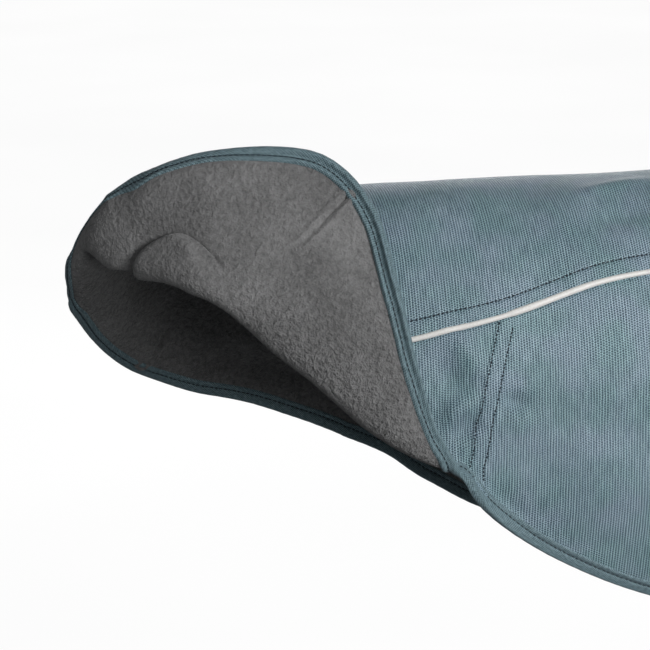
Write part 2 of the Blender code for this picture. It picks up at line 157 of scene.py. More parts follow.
# Creases: a soft trough (height below 0) or ridge along a line on one part of the cloth. Each row holds the
# line's first end, its last end, the crease's width and its height
CREASES = {
    "near": {
        "behind the seam": (-41, -105, -141, -20, -105, -125, 6, -4.4),
        "above it": (-43, -103, -125, -22, -104, -113, 5, 2.8),
        "over the corner": (-38, -92, -78, -20, -98, -95, 7, 3.0),
        "under the piping": (-44, -97, -97, -29, -102, -111, 8, -3.8),
        "at the seam": (-6, -104, -116, 10, -107, -119, 6, -4.2),
        "under it": (-7, -106, -128, 9, -108, -131, 7, 1.8),
        "at the hem": (-19, -108, -172, 10, -108, -195, 7, -3.6),
        "across the loin": (10, -108, -112, 98, -112, -150, 15, -2.0),
        "over the belly": (40, -112, -190, 120, -112, -170, 18, 2.0),
        "under the band": (110, -112, -110, 196, -110, -150, 14, -2.0),
        "behind the leg": (190, -112, -230, 262, -100, -160, 16, -2.6),
        "at the chest": (262, -100, -120, 332, -70, -180, 14, -2.2),
        "at the neck": (290, -90, -60, 330, -70, -110, 11, 1.8),
    },
    "far": {
        "at the hip": (-60, 104, -90, -150, 98, -95, 14, 4.5),
        "at the hem": (-80, 102, -140, -170, 94, -122, 10, -4.5),
        "at the loin": (-10, 108, -90, 40, 110, -150, 14, -2.0),
        "over the belly": (50, 112, -200, 110, 114, -165, 16, 2.0),
        "under the band": (110, 114, -100, 185, 114, -140, 14, -2.2),
        "behind the leg": (185, 112, -235, 255, 102, -170, 15, -2.6),
        "at the chest": (265, 100, -110, 330, 72, -170, 14, -2.0),
    },
    "back": {
        "near the tail": (-180, 30, -12, -120, 60, -20, 12, -1.6),
        "at the loin": (60, -32, -2, 114, -16, 3, 8, 3.0),
        "below it": (56, -56, -17, 112, -46, -9, 12, -3.4),
        "beside it": (20, -40, 0, 60, 5, 5, 10, -1.3),
        "mid back": (140, -50, 0, 210, 10, 5, 14, -1.5),
        "shoulders": (215, 60, -5, 270, -20, 12, 13, -1.8),
        "far loin": (-40, 20, 2, 50, 64, -9, 13, -1.5),
    },
    "flap": {
        "beside the tail": (-250, -36, -8, -236, -48, -34, 3, 1.8),
        "upper dent": (-176, -70, 20, -150, -85, 2, 15, 3.4),
        "middle dent": (-150, -95, -30, -118, -98, -12, 16, 2.6),
        "lower swell": (-128, -104, -60, -96, -112, -86, 18, -2.6),
        "hem dent": (-104, -88, -10, -92, -98, -34, 12, 1.6),
    },
}

# The rounded lobe that stands out beside the fold, bounded above by a crease: x, z and the width of its rise
LOBE = {
    "tip": (-230, -41, 2.0),
    "left": (-228, -30, 1.9),
    "shoulder": (-220, -20, 1.9),
    "top": (-205, -12, 2.2),
    "right": (-193, -15, 4),
    "falling": (-182, -25, 10),
    "foot": (-166, -46, 22),
}
LOBE_HEIGHT, LOBE_REACH = 5.5, 40
LOBE_CREASE, LOBE_CREASE_WIDTH = 4.4, 1.5

# Dart seams of the lining, from the hem inwards, and their ridge and the hollows beside it: height, distance
# from the seam and width
DARTS = {
    "near": ((-101, -75, 9), (-119, -83, -4), (-142, -91, -22)),
    "far": ((-217, 78, -132), (-200, 83, -114), (-186, 84, -88)),
}
DART_SWELLS = ((2.9, 0, 1.2), (-1.6, 3.2, 2.2))

# What each sheet is cut to: width and length in metres, its area, and the trims sewn on it
CUTS = {
    "back_panel": (0.30, 0.62, 0.110, ("piping_cord_near", "piping_cord_far", "top_stitches")),
    "side_front_near": (0.30, 0.42, 0.098, ("seam_stitches_near",)),
    "side_front_far": (0.30, 0.42, 0.098, ("seam_stitches_far",)),
    "side_rear_near": (0.22, 0.30, 0.042, ()),
    "side_rear_far": (0.22, 0.30, 0.042, ()),
    "lining": (0.68, 0.68, 0.37, ("hem_tape", "neck_tape", "tape_stitches")),
    "belly_band": (0.055, 0.56, 0.030, ("band_stitches", "band_patch")),
}


# ---------------------------------------------------------------- the surface

def look_up(table, value):
    """What a table of pairs says at a value."""
    return np.interp(value, *np.array(table, float).T)


def bell(distance, width):
    """1 at no distance, falling softly to nothing a few widths away."""
    return np.exp(-(distance / width) ** 2)


def rise(value):
    """Smoothly from 0 to 1 as the value goes from 0 to 1."""
    t = np.clip(value, 0, 1)
    return t * t * (3 - 2 * t)


def unit(vectors):
    return vectors / np.linalg.norm(vectors, axis=-1, keepdims=True)


def smooth(table, u):
    """A table's values at u, on a smooth curve through its rows."""
    k = int(min(max(u, 0), len(table) - 2))
    here, there = table[k], table[k + 1]
    before = table[k - 1] if k else 2 * here - there
    after = table[k + 2] if k + 2 < len(table) else 2 * there - here
    return hermite(here, (there - before) / 2, there, (after - here) / 2, u - k)


def hermite(start, start_slope, end, end_slope, t):
    """The cubic from start to end with the given slopes, at t from 0 to 1."""
    return (start * (2 * t**3 - 3 * t**2 + 1) + start_slope * (t**3 - 2 * t**2 + t)
            + end * (3 * t**2 - 2 * t**3) + end_slope * (t**3 - t**2))


def section(u):
    return dict(zip(SECTION_COLUMNS, smooth(SECTION_ROWS, u)))


def signed_power(value, power):
    return np.sign(value) * np.abs(value) ** power


def hem_angle(row, side):
    """The angle round the body at which one side's cloth has dropped to its hem."""
    level = 1 - 2 * min(row[side + "_drop"] / row["depth"], 1)
    return np.arccos(signed_power(level, row["square"] / 2))


def ring(row, side, angles):
    """Points at the angles from the spine, down one side of a section's rounded body."""
    power = 2 / row["square"]
    down = (1 - signed_power(np.cos(angles), power)) / 2
    out = row[side + "_width"] * signed_power(np.sin(angles), power) * SIGN[side]
    along = (1 - np.cos(angles)) / (1 - np.cos(hem_angle(row, side)))
    fall = -row["depth"] * down
    roll = np.radians(row["roll"])
    return np.stack([
        row["spine_x"] + (row[side + "_x"] - row["spine_x"]) * along,
        row["spine_y"] + out * np.cos(roll) + fall * np.sin(roll),
        row["spine_z"] + fall * np.cos(roll) - out * np.sin(roll),
    ], -1)


def distances(line):
    """The distance run at each point of a line."""
    return np.concatenate([[0], np.cumsum(np.linalg.norm(np.diff(line, axis=0), axis=1))])


def pairs(along, across):
    """Cloth coordinates of a grid, from those of its rows and of its columns."""
    return np.stack(np.broadcast_arrays(along, across), -1)


def at_run(values, run, where):
    """Values given at distances along a line, read at other distances."""
    return np.stack([np.interp(where, run, column) for column in values.T], -1)


def resampled(values, run, count=501):
    """Values along a line, again at even distances."""
    return at_run(values, run, np.linspace(0, run[-1], count))


def spaced(line, count=241):
    """The line again, as evenly spaced points."""
    return resampled(line, distances(line), count)


def blurred(values, run, reach):
    """Values along a line, each made the mean of those within reach."""
    weight = bell(run[:, None] - run, reach)
    return weight @ values / weight.sum(1, keepdims=True)


def plain_side(u, side):
    row = section(u)
    return spaced(ring(row, side, np.linspace(0, hem_angle(row, side), 160)))


def folded_side(u):
    """The near side where its corner is turned back: body, fold edge, and up to the hem."""
    row = section(u)
    fold = dict(zip(FOLD_COLUMNS, smooth(FOLD_ROWS, u - SEAM)))
    edge, turn, hem = np.array([fold[column] for column in FOLD_COLUMNS[1:]]).reshape(3, 3)
    body = ring(row, "near", np.linspace(0, np.radians(fold["leave"]), 60))
    way = body[-1] - body[-2]
    fall = unit(way) * 1.5 * np.linalg.norm(edge - body[-1])
    t = np.linspace(0, 1, 60)[1:, None]
    down = hermite(body[-1], fall, edge, turn, t)
    up = hermite(edge, turn, hem, (3 * (hem - edge) - turn) / 2, t)
    return spaced(np.concatenate([body, down, up]))


def scooped_side(u):
    """The near side where the fold has run out, beside the tail: one soft hollow on from the far side."""
    folded, far = folded_side(u), plain_side(u, "far")
    spine, hem = folded[0], folded[-1]
    reach = np.linalg.norm(hem - spine)
    leave = unit(far[0] - far[20])
    t = np.linspace(0, 1, 120)[:, None]
    return spaced(hermite(spine, leave * reach * 0.9, hem, (hem - spine) * 0.8, t))


def side_line(u, side):
    """One side of the cloth at u, from the spine to its hem."""
    if side == "far" or u <= SEAM - 1:
        return plain_side(u, side)
    folded = rise(u - (SEAM - 1))
    if folded < 1:
        return spaced((1 - folded) * plain_side(u, side) + folded * folded_side(u))
    scooped = rise((u - FOLD_END) / FOLD_FADE)
    if scooped == 0:
        return folded_side(u)
    return spaced((1 - scooped) * folded_side(u) + scooped * scooped_side(u))


def to_segments(points, line):
    """Distance from each point to a polyline, and how far along it (0 to 1) the nearest place is."""
    best = np.full(points.shape[:-1], np.inf)
    along = np.zeros(points.shape[:-1])
    run = distances(line)
    for start, end, before, after in zip(line, line[1:], run, run[1:]):
        way = end - start
        t = np.clip((points - start) @ way / (way @ way), 0, 1)
        far = np.linalg.norm(points - start - t[..., None] * way, axis=-1)
        closer = far < best
        best = np.where(closer, far, best)
        along = np.where(closer, (before + t * (after - before)) / run[-1], along)
    return best, along


def ripple(place, wavelength, seed):
    """An uneven wave of about the given wavelength, between -1 and 1."""
    turns = 2 * np.pi * place / wavelength
    return (np.sin(turns + seed) + 0.7 * np.sin(turns * 0.61 + 2.3 * seed)
            + 0.5 * np.sin(turns * 1.37 + 4.1 * seed)) / 2.2


def drift(points):
    """Broad, slight unevenness of the whole cloth."""
    x, y, z = np.moveaxis(points, -1, 0)
    return (0.5 * ripple(x + 0.5 * z, 120, 1) + 0.35 * ripple(z - 0.6 * x + 0.4 * y, 75, 2)
            + 0.3 * ripple(y + 0.3 * x, 90, 3))


def creased(points, normals, shares):
    """How far the creases move each point along its outward direction."""
    flap = rise((normals[..., 1] + 0.05) / 0.3) * (shares < 0)
    regions = {
        "near": (shares < 0) * (1 - flap), "far": (shares > 0) * 1.0,
        "back": rise(normals[..., 2] * 1.6) * (1 - flap), "flap": flap,
    }
    height = np.zeros(shares.shape)
    for region, creases in CREASES.items():
        for *ends, width, tall in creases.values():
            far, along = to_segments(points, np.array(ends, float).reshape(2, 3))
            taper = 0.35 + 0.65 * np.sin(np.pi * along)
            height += regions[region] * tall * taper * bell(far, width)
    return height + flap * lobed(points[..., [0, 2]])


def lobed(flat):
    """How far the lobe and the crease round it move points of the turned-back corner, seen from the side."""
    rows = np.array(list(LOBE.values()), float)
    x, z, soft = np.array([smooth(rows, k) for k in np.linspace(0, len(LOBE) - 1, 49)]).T
    outline = np.stack([x, z], -1)
    far, along = to_segments(flat, outline)
    run = distances(outline)
    soft = np.interp(along, run / run[-1], soft)
    inside = (flat[..., 1] < np.interp(flat[..., 0], x, z)) & (flat[..., 0] > x[0])
    fade = (1 - 0.8 * rise((along - 0.3) / 0.3)) * (1 - rise((along - 0.7) / 0.2))
    crease = LOBE_CREASE * bell(far, LOBE_CREASE_WIDTH) * fade
    return crease - inside * LOBE_HEIGHT * rise(far / soft / 2) * bell(far, LOBE_REACH)


class Cloth:
    """The surface on a fine grid of u lines and shares, and what is read off it at any place."""

    LINES, COLUMNS = 701, 481

    def __init__(self):
        self.u = np.linspace(0, LAST, self.LINES)
        self.share = np.linspace(-1, 1, self.COLUMNS)
        lines = {side: [side_line(u, side) for u in self.u] for side in SIGN}
        self.points = np.array([np.concatenate([near[:0:-1], far]) for near, far in zip(*lines.values())])
        self.lengths = {side: np.array([distances(line)[-1] for line in lines[side]]) for side in SIGN}
        self.pipings = {side: np.array([section(u)[side + "_piping"] for u in self.u]) for side in SIGN}
        self.weave_x = self.along()
        self.normals = self.outward()
        self.seam_run = self.from_seam()
        slant = self.slants()
        self.inner = {side: BINDING_WIDTH / slant[side] / self.lengths[side] for side in SIGN}
        self.draw_in_hem()
        self.lift_fold()
        self.round_tail()
        shares = np.tile(self.share, (self.LINES, 1))
        height = drift(self.points) + creased(self.points, self.normals, shares)
        self.points = self.points + self.normals * height[..., None]
        self.normals = self.outward()
        self.roll_hem()
        self.normals = self.outward()

    def along(self):
        """Where the threads across the coat lie: by x, and over the chest by the cloth's own length."""
        found = self.points[..., 0].copy()
        for row in np.nonzero(self.u < CHEST)[0][::-1]:
            found[row] = found[row + 1] + np.linalg.norm(self.points[row] - self.points[row + 1], axis=-1)
        return found

    def outward(self):
        return unit(np.cross(np.gradient(self.points, axis=1), np.gradient(self.points, axis=0)))

    def slants(self):
        """How squarely each row meets the hem, which sets how far along the row the binding reaches."""
        found = {}
        for side, edge, inside in (("near", 0, 5), ("far", -1, -6)):
            hem = np.gradient(self.points[:, edge], axis=0)
            hem[self.u < CHEST] = hem[self.u >= CHEST][1]
            way = self.points[:, edge] - self.points[:, inside]
            found[side] = np.clip(np.linalg.norm(np.cross(unit(hem), unit(way)), axis=-1), 0.6, 1)
        return found

    def from_seam(self):
        """Millimetres ahead of the side seam's edge."""
        found = np.empty(self.points.shape[:2])
        down = np.linspace(0, 1, 80)
        edge_u = look_up(SEAM_EDGE, down)
        for side, part in (("near", self.share < 0), ("far", self.share >= 0)):
            start, end = self.pipings[side][:, None], self.lengths[side][:, None]
            panel = 1 - self.piping(edge_u, side) / self.length(edge_u, side)
            share = SIGN[side] * (1 - (1 - down) * panel)
            edge = self.read(self.points, edge_u, share)
            far, _ = to_segments(self.points[:, part], edge)
            there = look_up(SEAM_EDGE, (np.abs(self.share[part]) * end - start) / (end - start))
            found[:, part] = far * np.sign(there - self.u[:, None])
        return found

    def tail_path(self, table, inset=0):
        """What a table says along the hem round the tail end, from the near side to the far side."""
        rows = self.u >= 9
        return np.concatenate([table[rows, inset], table[-1 - inset, 1:-1], table[rows, -1 - inset][::-1]])

    def near_tail(self, edge, values, soft, fade):
        """Values given along the tail's hem, spread over the cloth beside it."""
        rows = self.u >= 8
        points = self.points[rows]
        far = np.linalg.norm(points[:, :, None] - edge[::6], axis=-1)
        weight = bell(far, soft) + 1e-12
        spread = np.einsum("ijk,kl->ijl", weight, values[::6]) / weight.sum(-1, keepdims=True)
        return rows, spread * bell(far.min(-1), fade)[..., None]

    def draw_in_hem(self):
        """Takes the near hem in a little where the corner is turned back, along the cloth."""
        near = self.COLUMNS // 2
        for i in np.flatnonzero((self.u > HEM_DRAW[0][0]) & (self.u < HEM_DRAW[-1][0])):
            line = self.points[i, :near + 1]
            run = distances(line)
            drawn = run + look_up(HEM_DRAW, self.u[i]) * bell(run, HEM_DRAW_REACH)
            self.points[i, :near + 1] = at_run(line, run, drawn)

    def lift_fold(self):
        """Draws up the lower edge of the turned-back corner."""
        near = self.COLUMNS // 2
        rows = self.u > FOLD_LIFT[0][0]
        points = self.points[rows, :near]
        run = np.array([distances(row) for row in points])
        lowest = run[np.arange(len(run)), np.argmin(points[..., 2], 1)]
        lowest = blurred(lowest[:, None], self.u[rows], 0.15)
        lift = look_up(FOLD_LIFT, self.u[rows])
        self.points[rows, :near, 2] += lift[:, None] * bell(run - lowest, FOLD_LIFT_REACH)

    def round_tail(self):
        """Takes the corners off the tail end."""
        edge = spaced(self.tail_path(self.points), 501)
        run = distances(edge)
        hold = rise(np.minimum(run, run[-1] - run) / 60)[:, None]
        rows, shift = self.near_tail(edge, (blurred(edge, run, 13) - edge) * hold, soft=6, fade=22)
        self.points[rows] += shift

    def roll_hem(self):
        """Rolls the hem outwards round the tail end, after letting the cloth out to make up for it."""
        for letting_out in (True, False):
            path = self.tail_path(self.points)
            run = distances(path)
            edge = resampled(path, run)
            even = distances(edge)
            normal = unit(blurred(resampled(self.tail_path(self.outward(), 6), run), even, 12))
            out = unit(np.cross(blurred(unit(np.gradient(edge, axis=0)), even, 5), normal))
            out *= np.sign(np.sum(out * (edge - resampled(self.tail_path(self.points, 12), run))))
            middle = int(np.argmin(edge[:, 0]))
            turn = np.empty(len(edge))
            for side, part in (("near", slice(0, middle)), ("far", slice(middle, None))):
                turn[part] = np.radians(look_up(ROLLS[side], edge[part, 0]))
            turn = np.maximum(turn, 0.01)
            if letting_out:
                loss = ROLL_SPARE * ROLL_REACH * (1 - np.sin(np.minimum(turn, np.pi / 2)) / turn)
                stand_out = loss + look_up(TAIL_EASE, even)
                rows, shift = self.near_tail(edge, out * stand_out[:, None], soft=8, fade=34)
                self.points[rows] += shift
        facts = np.concatenate([out, turn[:, None], normal], 1)
        rows, spread = self.near_tail(edge, facts, soft=5, fade=np.inf)
        far, _ = to_segments(self.points[rows], edge[::3])
        travel = np.clip(ROLL_REACH - far, 0, None)
        radius = ROLL_REACH / spread[..., 3]
        angle = travel / radius
        self.points[rows] += (unit(spread[..., 4:]) * (radius * (1 - np.cos(angle)))[..., None]
                              - unit(spread[..., :3]) * (travel - radius * np.sin(angle))[..., None])

    def read(self, table, u, share):
        """A table's values at places of the cloth, between its grid's points."""
        u, share = np.broadcast_arrays(u, share)
        i = np.clip(u / LAST * (self.LINES - 1), 0, self.LINES - 1.001)
        j = np.clip((share + 1) / 2 * (self.COLUMNS - 1), 0, self.COLUMNS - 1.001)
        k, m = i.astype(int), j.astype(int)
        a, b = i - k, j - m
        if table.ndim == 3:
            a, b = a[..., None], b[..., None]
        return ((1 - a) * (1 - b) * table[k, m] + a * (1 - b) * table[k + 1, m]
                + (1 - a) * b * table[k, m + 1] + a * b * table[k + 1, m + 1])

    def point(self, u, share, height=0):
        height = np.broadcast_to(height, np.broadcast(u, share).shape)
        return self.read(self.points, u, share) + self.normal(u, share) * height[..., None]

    def normal(self, u, share):
        return unit(self.read(self.normals, u, share))

    def line(self, u, share, height):
        """Points along a line at a height, and which way is outward there."""
        return self.point(u, share, height), self.normal(u, share)

    def length(self, u, side):
        return np.interp(u, self.u, self.lengths[side])

    def piping(self, u, side):
        return np.interp(u, self.u, self.pipings[side])

    def reach(self, u, across):
        """How long the cloth is from spine to hem, on the side that a place across it is on."""
        return np.where(across < 0, self.length(u, "near"), self.length(u, "far"))

    def inner_share(self, u, side):
        """The share at which the binding's inner edge lies."""
        return 1 - np.interp(u, self.u, self.inner[side])

    def seam_u(self, share, distance):
        """Where each share's line is at a distance ahead of the side seam."""
        rows = np.linspace(SEAM - 2.5, SEAM + 1.5, 300)
        run = self.read(self.seam_run, rows[:, None], share[None])
        return np.array([np.interp(-distance, -column, rows) for column in run.T])

    def rows(self, start, end, step, share):
        """u values from start to end that are about the given distance apart at a share."""
        fine = np.linspace(start, end, 400)
        run = distances(self.point(fine, np.full_like(fine, share)))
        return np.interp(np.linspace(0, run[-1], max(2, int(run[-1] / step))), run, fine)


cloth = Cloth()


# ---------------------------------------------------------------- materials

# How far apart the threads lie, in millimetres: across the shell and along it, and the same in the tape
THREAD_PITCH, CROSS_PITCH = 1.75, 1.6
RIB_PITCH, RIB_CROSS_PITCH = 1.35, 1.25
SHELL_TINTS = (0.92, 1.0, 0.965), (1.04, 0.995, 1.045)


class Nodes:
    """Short names for building a material's node tree."""

    def __init__(self, name, roughness, sheen=0.0, sheen_tint=(1, 1, 1), specular=0.3):
        self.material = bpy.data.materials.new(name)
        self.material.use_nodes = True
        self.shader = self.material.node_tree.nodes["Principled BSDF"]
        for socket, value in (
            ("Roughness", roughness), ("Specular IOR Level", specular), ("Sheen Weight", sheen),
            ("Sheen Roughness", 0.5), ("Sheen Tint", (*sheen_tint, 1)),
        ):
            self.put(self.shader.inputs[socket], value)

    def new(self, kind, **inputs):
        """A new node, and what some of its inputs take."""
        node = self.material.node_tree.nodes.new("ShaderNode" + kind)
        for name, value in inputs.items():
            self.put(node.inputs[name], value)
        return node

    def put(self, socket, value):
        if isinstance(value, bpy.types.NodeSocket):
            self.material.node_tree.links.new(value, socket)
        else:
            socket.default_value = value

    def math(self, operation, *values):
        node = self.new("Math")
        node.operation = operation
        for socket, value in zip(node.inputs, values):
            self.put(socket, value)
        return node.outputs[0]

    def vary(self, base, value, amount):
        """The base, made higher or lower as the value lies above or below its middle, 0.5."""
        return self.math("MULTIPLY_ADD", self.math("SUBTRACT", value, 0.5), amount, base)

    def wave(self, place, pitch, turn=0.0):
        """A wave from 0 to 1 along a coordinate in millimetres, begun a turn in radians further on."""
        turns = self.math("MULTIPLY_ADD", place, 2 * np.pi / pitch, turn)
        return self.math("MULTIPLY_ADD", self.math("COSINE", turns), 0.5, 0.5)

    def uv(self):
        """The cloth's own coordinates, in millimetres: along the coat and round it."""
        place = self.new("UVMap")
        place.uv_map = "cloth"
        split = self.new("SeparateXYZ", Vector=place.outputs["UV"])
        return [self.math("MULTIPLY", output, 1000.0) for output in split.outputs[:2]]

    def noise(self, size, detail=2.0):
        """Noise with features of about a size in metres."""
        where = self.new("TexCoord").outputs["Object"]
        return self.new("TexNoise", Vector=where, Scale=1 / size, Detail=detail).outputs["Fac"]

    def flat_noise(self, along, across, along_size, across_size):
        """Noise over the cloth's own coordinates, with features of the given sizes in millimetres."""
        x, y = self.math("DIVIDE", along, along_size), self.math("DIVIDE", across, across_size)
        where = self.new("CombineXYZ", X=x, Y=y).outputs[0]
        return self.new("TexNoise", Vector=where, Scale=1.0, Detail=0.0).outputs["Fac"]

    def low_part(self, top, bottom, above, below):
        """One value above a height in metres, another below a lower one, and a soft change between them."""
        split = self.new("SeparateXYZ", Vector=self.new("TexCoord").outputs["Object"])
        node = self.new("MapRange")
        node.interpolation_type = "SMOOTHSTEP"
        for socket, value in zip(node.inputs, (split.outputs[2], top, bottom, above, below)):
            self.put(socket, value)
        return node.outputs[0]

    def ramp(self, value, *stops):
        node = self.new("ValToRGB")
        first, *between, last = stops
        for element, (position, colour) in zip(node.color_ramp.elements, (first, last)):
            element.position, element.color = position, (*colour, 1)
        for position, colour in between:
            node.color_ramp.elements.new(position).color = (*colour, 1)
        self.put(node.inputs[0], value)
        return node.outputs[0]

    def tinted(self, colour, value, tints):
        """The colour times a tint that goes from the first to the second with the value."""
        node = self.new("Mix")
        node.data_type, node.blend_type = "RGBA", "MULTIPLY"
        node.inputs["Factor"].default_value = 1.0
        self.put(node.inputs[6], colour)
        self.put(node.inputs[7], self.ramp(value, (0.35, tints[0]), (0.65, tints[1])))
        return node.outputs[2]

    def finish(self, colour, height, depth):
        """Colour, and bump of a depth in metres."""
        self.put(self.shader.inputs["Base Color"], colour)
        bump = self.new("Bump", Strength=1.0, Distance=depth, Height=height)
        self.put(self.shader.inputs["Normal"], bump.outputs[0])
        return self.material


def shell_material(dark, mid, light):
    """Coated plain weave: threads staggered from column to column, a little uneven in thickness and tint."""
    nodes = Nodes("shell weave", 0.5, 0.15, (0.75, 0.85, 1.0))
    along, around = nodes.uv()
    along = nodes.vary(along, nodes.noise(0.03), 1.5)
    column = nodes.wave(along, THREAD_PITCH)
    columns = nodes.math("FLOOR", nodes.math("DIVIDE", along, THREAD_PITCH))
    cross = nodes.wave(around, CROSS_PITCH, nodes.math("MULTIPLY", columns, np.pi))
    weave = nodes.math("ADD", nodes.math("MULTIPLY", column, 0.45), nodes.math("MULTIPLY", cross, 0.55))
    streaks = nodes.flat_noise(along, around, 1.1, 12.0)
    specks = nodes.flat_noise(along, around, 0.8, 0.8)
    blotches = nodes.noise(0.05, 3.0)
    tone = nodes.vary(nodes.vary(nodes.vary(weave, specks, 0.6), streaks, 0.35), blotches, 0.25)
    colour = nodes.ramp(tone, (0.06, dark), (0.5, mid), (0.94, light))
    return nodes.finish(nodes.tinted(colour, nodes.noise(0.025, 1.0), SHELL_TINTS), weave, 0.00022)


def tape_material(dark, light):
    """Bias twill tape: fine slanting ribs."""
    nodes = Nodes("binding twill", 0.6, 0.15, (0.75, 0.9, 1.0))
    along, across = nodes.uv()
    rib = nodes.wave(nodes.math("MULTIPLY_ADD", across, 0.9, along), RIB_PITCH)
    cross = nodes.wave(nodes.math("MULTIPLY_ADD", along, -0.5, across), RIB_CROSS_PITCH)
    weave = nodes.math("MULTIPLY_ADD", cross, 0.5, nodes.math("MULTIPLY", rib, 0.5))
    tone = nodes.vary(weave, nodes.flat_noise(along, across, 2.5, 1.2), 0.8)
    return nodes.finish(nodes.ramp(tone, (0.0, dark), (1.0, light)), weave, 0.00012)


def fleece_material():
    """Short napped fleece: small curls of fibre, brushed into faint lighter and darker patches."""
    nodes = Nodes("fleece", 1.0, 0.25, specular=0.05)
    nap = nodes.math("MULTIPLY_ADD", nodes.noise(0.0012), 0.5, nodes.noise(0.0032))
    patches = nodes.noise(0.035, 3.0)
    tone = nodes.math("ADD", nodes.math("MULTIPLY", nap, 0.3), nodes.math("MULTIPLY", patches, 0.3))
    colour = nodes.ramp(tone, (0.28, (0.130,) * 3), (0.38, (0.186,) * 3), (0.48, (0.248,) * 3))
    matted = nodes.math("MULTIPLY", nap, nodes.low_part(-0.02, -0.09, 0.35, 1.0))
    return nodes.finish(colour, matted, 0.0045)


def piping_material():
    """Pale, smooth cord cover with a faint fleck."""
    nodes = Nodes("reflective piping", 0.35)
    fleck = nodes.noise(0.0012)
    colour = nodes.ramp(fleck, (0.3, (0.76, 0.74, 0.71)), (0.7, (0.86, 0.845, 0.82)))
    return nodes.finish(colour, fleck, 0.00006)


def thread_material(name, dark, light):
    """Twisted thread."""
    nodes = Nodes(name, 0.45)
    twist = nodes.wave(nodes.math("ADD", *nodes.uv()), 0.5)
    return nodes.finish(nodes.ramp(twist, (0.2, dark), (0.8, light)), twist, 0.00008)


def patch_material():
    """Hook and loop tape: a field of small loops."""
    nodes = Nodes("hook and loop", 0.9)
    loops = nodes.noise(0.0011, 3.0)
    colour = nodes.ramp(loops, (0.35, (0.008, 0.009, 0.010)), (0.65, (0.035, 0.038, 0.042)))
    return nodes.finish(colour, loops, 0.0008)


# ---------------------------------------------------------------- sheets and strips

def add_piece(name, points, faces, uv, material, replaces=()):
    """A mesh of points in millimetres, with cloth coordinates in millimetres for the weave."""
    mesh = bpy.data.meshes.new(name)
    mesh.from_pydata((points.reshape(-1, 3) * MM).tolist(), [], faces)
    layer = mesh.uv_layers.new(name="cloth")
    corners = np.array([vertex for face in faces for vertex in face])
    layer.data.foreach_set("uv", (uv.reshape(-1, 2)[corners] * MM).ravel())
    mesh.shade_smooth()
    piece = bpy.data.objects.new(name, mesh)
    piece.data.materials.append(material)
    bpy.context.scene.collection.objects.link(piece)
    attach(piece, "root")
    if replaces:
        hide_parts(*replaces)


def ringed(centre, up, across, high, wide, spin):
    """Points round each centre, at angles, on an oval of the given half height and half width."""
    return (centre[..., None, :] + up[..., None, :] * (high[..., None] * np.sin(spin))[..., None]
            + across[..., None, :] * (wide[..., None] * np.cos(spin))[..., None])


def grid_faces(rows, columns):
    number = np.arange(rows * columns).reshape(rows, columns)
    a, b, c, d = number[:-1, :-1], number[:-1, 1:], number[1:, 1:], number[1:, :-1]
    return np.stack([a, b, c, d], -1).reshape(-1, 4).tolist()


def cloth_uv(u, share):
    """Along the coat and round it, in millimetres."""
    return np.stack([cloth.read(cloth.weave_x, u, share), cloth.reach(u, share) * share], -1)


def sheet(node, u, share, height, material):
    """The layer of cloth that stands for a node, over a grid of places, at a height above the surface."""
    points = cloth.point(u, share, height)
    add_piece(node + "_cloth", points, grid_faces(*u.shape), cloth_uv(u, share), material, [node])


def groove(distance, depth=0.45, width=0.9):
    """The dip that a row of stitches pulls into cloth."""
    return -depth * bell(distance, width)


# Distances of the grid's lines from the piping and from the side seam
FINE = np.array([0, 0.6, 1.2, 2, 3, 4, 4.7, 5.3, 5.9, 6.6, 7.5, 8.8, 9.6, 10.3, 11, 11.7, 12.4, 13.5, 15])
SEAM_LINES = np.array([0, 0.5, 1, 1.6, 2.2, 3, 4.5, 6.5, 8.5, 9.6, 10.2, 10.8, 11.4, 12.2, 13.5, 15.5, 18])


def close_hem(u):
    """0 where both sides meet under the neck, 1 where they have a hem."""
    return rise((u - CHEST) / 0.1)


def lap_height(ahead):
    """How much higher the front panel lies where it laps over the rear one, with its two rows of stitches."""
    lap = LAP_THICK * (1 - rise((ahead - LAP_END) / 4)) * rise((ahead + 0.2) / 0.9)
    return lap + sum(groove(ahead - line) for line in LAP_STITCHES)


def seam_pucker(distance, u, seed):
    """Little waves in the cloth along a piped seam."""
    along = u * RIPPLE_RUN
    return (0.30 * ripple(along, 13, seed) + 0.18 * ripple(along, 7, seed + 1)) * bell(distance, 9)


